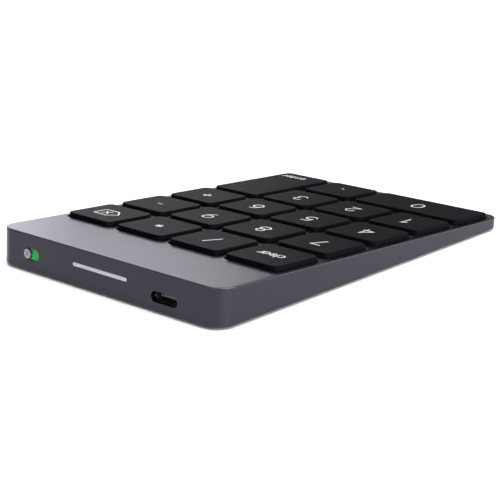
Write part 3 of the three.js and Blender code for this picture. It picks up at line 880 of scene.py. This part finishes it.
def make_knob():
    """A round knob with three grooves across its face."""
    low, high = deck_box("switch_knob")
    x, z = (low.x + high.x) / 2, (low.z + high.z) / 2
    radius, front = (high.z - low.z) / 2, high.y - REAR
    solid = Solid()
    profile = [(radius, KNOB_FLOOR), (radius, front - KNOB_EDGE)]
    profile += [
        (radius - KNOB_EDGE * (1 - out), front - KNOB_EDGE * down) for out, down in rising(4)]
    rings = solid.stack([(circle(r, x, z, 40), level) for r, level in profile], (True, False))
    grooves = []
    for side in (-1, 0, 1):
        outline = rounded(
            GROOVE["width"], GROOVE["length"] - GROOVE["shorter"] * abs(side), GROOVE["corner"],
            x + side * GROOVE["pitch"], z, 4)
        floor = front - GROOVE["depth"]
        grooves.append(solid.stack([(outline, front), (outline, floor)], (False, True))[0])
    solid.fill([rings[-1], *grooves])
    build("knob_head", solid, [KNOB_METAL], "switch_knob", shape=on_rear)


def make_mark():
    """The green mark that the knob uncovers, on the floor of its slot."""
    solid = plug(
        lambda inset: rear_outline(SWITCH, MARK["gap"] + inset), MARK["back"], MARK["front"],
        MARK["edge"], 1)
    build("on_mark", solid, [ON_GREEN], "root", shape=on_rear)


make_window_bar()
make_port_shell()
make_port_tongue()
make_knob()
make_mark()


# ---- Parts on the board and the battery's lead ----
BOARD_TOP = deck_box("main_pcb")[1].z
CHIPS = {
    # name: middle x and y, width, length, height
    "controller": (8, 52.2, 6, 6, 0.85),
    "charger": (-14, 53.4, 3, 3, 0.75),
    "driver": (19, 53, 4, 5, 0.9),
    "crystal": (14.2, 54.6, 2.5, 3.2, 0.7),
}
LEAD_PITCH = 0.8
LEAD_REACH = 0.25
LEAD_EDGE = 0.04
# Width, length and height of each kind of small block.
CHIP_LEAD = (0.6, 0.35, 0.2)
SMALL_BODY = (0.76, 0.6, 0.46)
SMALL_END = (0.8, 0.3, 0.5)
SMALL_PARTS = [
    (-26, 53), (-24, 53), (-22, 51), (-18, 55.5), (-10.5, 55.5), (-9, 51), (0.5, 55.4),
    (2.2, 55.4), (2.2, 50), (13, 50), (24, 56), (26, 56), (24, 51), (29, 54)]
SOCKET = {"x": -4, "y": 50.2, "size": (6, 3.2, 1.8), "edge": 0.15}
WIRE_RADIUS = 0.4
WIRE_PITCH = 2
# Each point's place along Y and its height above the board.
WIRE_PATH = [(48.9, 0.9), (47.2, 1.1), (45, 1.6), (43.4, 1.9), (deck_box("battery")[1].y - 0.1, 2.0)]


def block(solid, x, y, width, length, height, edge=0.08):
    """A part on the board, its top edge broken."""
    full = rounded(width, length, 0.1, x, y, 2)
    top = rounded(width - 2 * edge, length - 2 * edge, 0.1, x, y, 2)
    level = BOARD_TOP + height
    solid.stack([(full, BOARD_TOP - 0.02), (full, level - edge), (top, level)], (True, True))


def make_chips():
    leads = Solid()
    for name, (x, y, width, length, height) in CHIPS.items():
        chip = Solid()
        block(chip, x, y, width, length, height)
        build(f"chip_{name}", chip, [BLACK_PLASTIC], "root")
        count = int(length / LEAD_PITCH)
        for index in range(count):
            along = y + (index - (count - 1) / 2) * LEAD_PITCH
            for side in (-1, 1):
                block(leads, x + side * (width / 2 + LEAD_REACH), along, *CHIP_LEAD, LEAD_EDGE)
    bodies = Solid()
    for x, y in SMALL_PARTS:
        block(bodies, x, y, *SMALL_BODY, 0.03)
        for side in (-1, 1):
            block(leads, x, y + side * 0.42, *SMALL_END, LEAD_EDGE)
    build("board_leads", leads, [CAN_METAL], "root")
    build("board_small_parts", bodies, [PART_TAN], "root")


def make_battery_lead():
    """The socket on the board, and two short wires from it to the battery's end."""
    socket = Solid()
    block(socket, SOCKET["x"], SOCKET["y"], *SOCKET["size"], SOCKET["edge"])
    build("battery_socket", socket, [WHITE_PRINT], "root")
    for index, material in enumerate((WIRE_RED, BLACK_PLASTIC)):
        x = SOCKET["x"] + (index - 0.5) * WIRE_PITCH
        wire = Solid()
        rings = [
            wire.loop([(x + u, y, BOARD_TOP + rise + v) for u, v in circle(WIRE_RADIUS, steps=12)])
            for y, rise in WIRE_PATH]
        wire.join(rings)
        wire.face(rings[0])
        wire.face(rings[-1])
        build(f"battery_wire_{index}", wire, [material], "root")


make_chips()
make_battery_lead()


# ---- Underside ----
FOOT_EDGE = 0.3
FOOT_DISH = {"depth": 0.04, "floor": 0.9, "lip": 0.6}
SCREW = {"shank": 0.7, "edge": 0.06, "edge_depth": 0.05, "cone": 0.45}
CROSS = {"reach": 0.85, "half": 0.2, "depth": 0.32}


def make_foot(node):
    """A rubber foot with a rounded edge and a shallow dish in its face."""
    low, high = level_box(node)
    x, y = (low.x + high.x) / 2, (low.y + high.y) / 2
    radius = (high.x - low.x) / 2
    flat = radius - FOOT_EDGE
    profile = [(flat - FOOT_DISH["floor"], low.z + FOOT_DISH["depth"]), (flat - FOOT_DISH["lip"], low.z)]
    profile += [
        (radius - FOOT_EDGE * (1 - out), low.z + FOOT_EDGE * down) for out, down in quarter(5)]
    profile.append((radius, high.z))
    solid = Solid()
    solid.stack([(circle(r, x, y, 48), level) for r, level in profile], (True, True))
    build(f"{node}_pad", solid, [FOOT_RUBBER], "root", [node], place=LEVEL)


def cross(x, y):
    """The outline of a cross recess."""
    reach, half = CROSS["reach"], CROSS["half"]
    quadrant = [(reach, -half), (reach, half), (half, half)]
    outline = []
    for _ in range(4):
        outline += [(x + u, y + v) for u, v in quadrant]
        quadrant = [(-v, u) for u, v in quadrant]
    return outline


def make_screw(node):
    """A countersunk screw with a cross recess."""
    low, high = level_box(node)
    x, y = (low.x + high.x) / 2, (low.y + high.y) / 2
    head, shank = (high.x - low.x) / 2, SCREW["shank"]
    profile = [
        (head - SCREW["edge"], low.z), (head, low.z + SCREW["edge_depth"]),
        (shank, low.z + SCREW["cone"]), (shank, high.z)]
    solid = Solid()
    outer = solid.stack([(circle(r, x, y, 32), level) for r, level in profile], (False, True))
    outline = cross(x, y)
    recess = solid.stack([(outline, low.z), (outline, low.z + CROSS["depth"])], (False, True))
    solid.fill([outer[0], recess[0]])
    build(f"{node}_body", solid, [SCREW_METAL], "root", [node], place=LEVEL)


for node in sorted(nodes):
    if node.startswith("foot_"):
        make_foot(node)
    if node.startswith("screw_"):
        make_screw(node)


# ---- CAD nodes that stay, with their finishes ----
STAYING = {
    # node: its finish, and the width of its broken edges in millimetres
    "base_cover": (ANODISED, 0.08),
    "membrane_sheet": (FILM, 0),
    "support_plate": (PLATE_STEEL, 0),
    "main_pcb": (BOARD_GREEN, 0.05),
    "bluetooth_module": (CAN_METAL, 0.08),
    "battery": (POUCH, 0.25),
    "switch_housing": (BLACK_PLASTIC, 0.05),
    "switch_knob": (BLACK_PLASTIC, 0.04),
    "status_light_pipe": (LIGHT_PIPE, 0.03),
    "stabiliser_0": (WIRE_STEEL, 0),
    "stabiliser_enter": (WIRE_STEEL, 0),
}
BEVEL_ANGLE = math.radians(40)


def dress(node, material, edge_mm):
    """Gives a CAD node its finish, and breaks its sharp edges."""
    made = nodes[node]
    made.data.materials.clear()
    made.data.materials.append(material)
    if edge_mm:
        bevel = made.modifiers.new("broken_edges", "BEVEL")
        bevel.width = edge_mm * MM
        bevel.segments = 2
        bevel.limit_method = "ANGLE"
        bevel.angle_limit = BEVEL_ANGLE


for node, (material, edge_mm) in STAYING.items():
    dress(node, material, edge_mm)


# ---- Stage, light and camera ----
FLOOR_REACH = 1.1
HORIZON_FADE = (0.03, 0.13)


def make_floor():
    mesh = bpy.data.meshes.new("floor")
    corners = [(x * FLOOR_REACH, y * FLOOR_REACH, 0) for x, y in ((-1, -1), (1, -1), (1, 1), (-1, 1))]
    mesh.from_pydata(corners, [], [(0, 1, 2, 3)])
    floor = bpy.data.objects.new("floor", mesh)
    bpy.context.scene.collection.objects.link(floor)
    finish = Finish("floor_white", (0.93, 0.93, 0.93), 0.6, specular=0.2)
    finish.vary_roughness(finish.noise(40, 2), 0.02)
    mesh.materials.append(finish.material)


def make_world(low, high):
    """A studio of one strength up to the horizon, fading to another above it."""
    world = bpy.data.worlds.new("studio")
    world.use_nodes = True
    tree = world.node_tree
    place = tree.nodes.new("ShaderNodeTexCoord")
    split = tree.nodes.new("ShaderNodeSeparateXYZ")
    fade = tree.nodes.new("ShaderNodeMapRange")
    fade.inputs["From Min"].default_value, fade.inputs["From Max"].default_value = HORIZON_FADE
    fade.inputs["To Min"].default_value = low
    fade.inputs["To Max"].default_value = high
    background = tree.nodes["Background"]
    background.inputs["Color"].default_value = (1, 1, 1, 1)
    tree.links.new(place.outputs["Generated"], split.inputs[0])
    tree.links.new(split.outputs["Z"], fade.inputs["Value"])
    tree.links.new(fade.outputs["Result"], background.inputs["Strength"])
    bpy.context.scene.world = world


def softbox(name, azimuth, elevation, distance, width, height, power, aim=(0, 0, 0)):
    """A soft area light, placed by its direction from the point that it faces."""
    light = bpy.data.lights.new(name, "AREA")
    light.shape = "RECTANGLE"
    light.size, light.size_y = width, height
    light.energy = power
    holder = bpy.data.objects.new(name, light)
    turn, rise = math.radians(azimuth), math.radians(elevation)
    level = math.cos(rise)
    outwards = Vector((math.cos(turn) * level, math.sin(turn) * level, math.sin(rise)))
    holder.location = Vector(aim) + outwards * distance
    holder.rotation_euler = (-outwards).to_track_quat("-Z", "Y").to_euler()
    holder.visible_camera = False
    bpy.context.scene.collection.objects.link(holder)


CAMERA_PLACE = Vector((-220.2, 251.7, 98.5)) * MM
CAMERA_AIM = Vector((-12.15, 18.55, 5.12)) * MM
CAMERA_ROLL = -0.25
CAMERA_LENS = 92.6
SENSOR_WIDTH = 36


def make_camera():
    data = bpy.data.cameras.new("camera")
    data.lens = CAMERA_LENS
    data.sensor_width = SENSOR_WIDTH
    data.clip_start, data.clip_end = 0.01, 50
    camera = bpy.data.objects.new("camera", data)
    camera.location = CAMERA_PLACE
    look = (CAMERA_AIM - CAMERA_PLACE).to_track_quat("-Z", "Y")
    roll = Matrix.Rotation(math.radians(-CAMERA_ROLL), 4, "Z")
    camera.rotation_euler = (look.to_matrix().to_4x4() @ roll).to_euler()
    bpy.context.scene.collection.objects.link(camera)
    bpy.context.scene.camera = camera


make_floor()
make_world(1.05, 0.07)
# Each light's azimuth, elevation, distance, width, height and power, and the point that it faces.
softbox("overhead", 0, 90, 2.5, 3, 3, 57)
softbox("overhead_rear", 135, 70, 2.5, 2, 2, 24)
softbox("left_low", -145, 11, 1.1, 1.1, 0.42, 3.6)
softbox("left_rear_low", 174, 11, 1.0, 1.1, 0.36, 10)
softbox("left_floor", 200, 60, 0.8, 0.5, 0.5, 4.5, (-0.28, -0.16, 0))
softbox("rear", 100, 35, 1.4, 0.9, 0.6, 4.5)
softbox("left", 178, 40, 1.4, 0.9, 0.6, 3)
softbox("front_right_high", -38, 32, 1.4, 0.36, 0.26, 2.1)
softbox("front_right_mid", -42, 17.5, 1.4, 0.4, 0.26, 1.03)
softbox("front_right_low", -27, 8.5, 1.4, 0.49, 0.3, 1.2)
make_camera()
bpy.context.scene.view_settings.view_transform = "Standard"
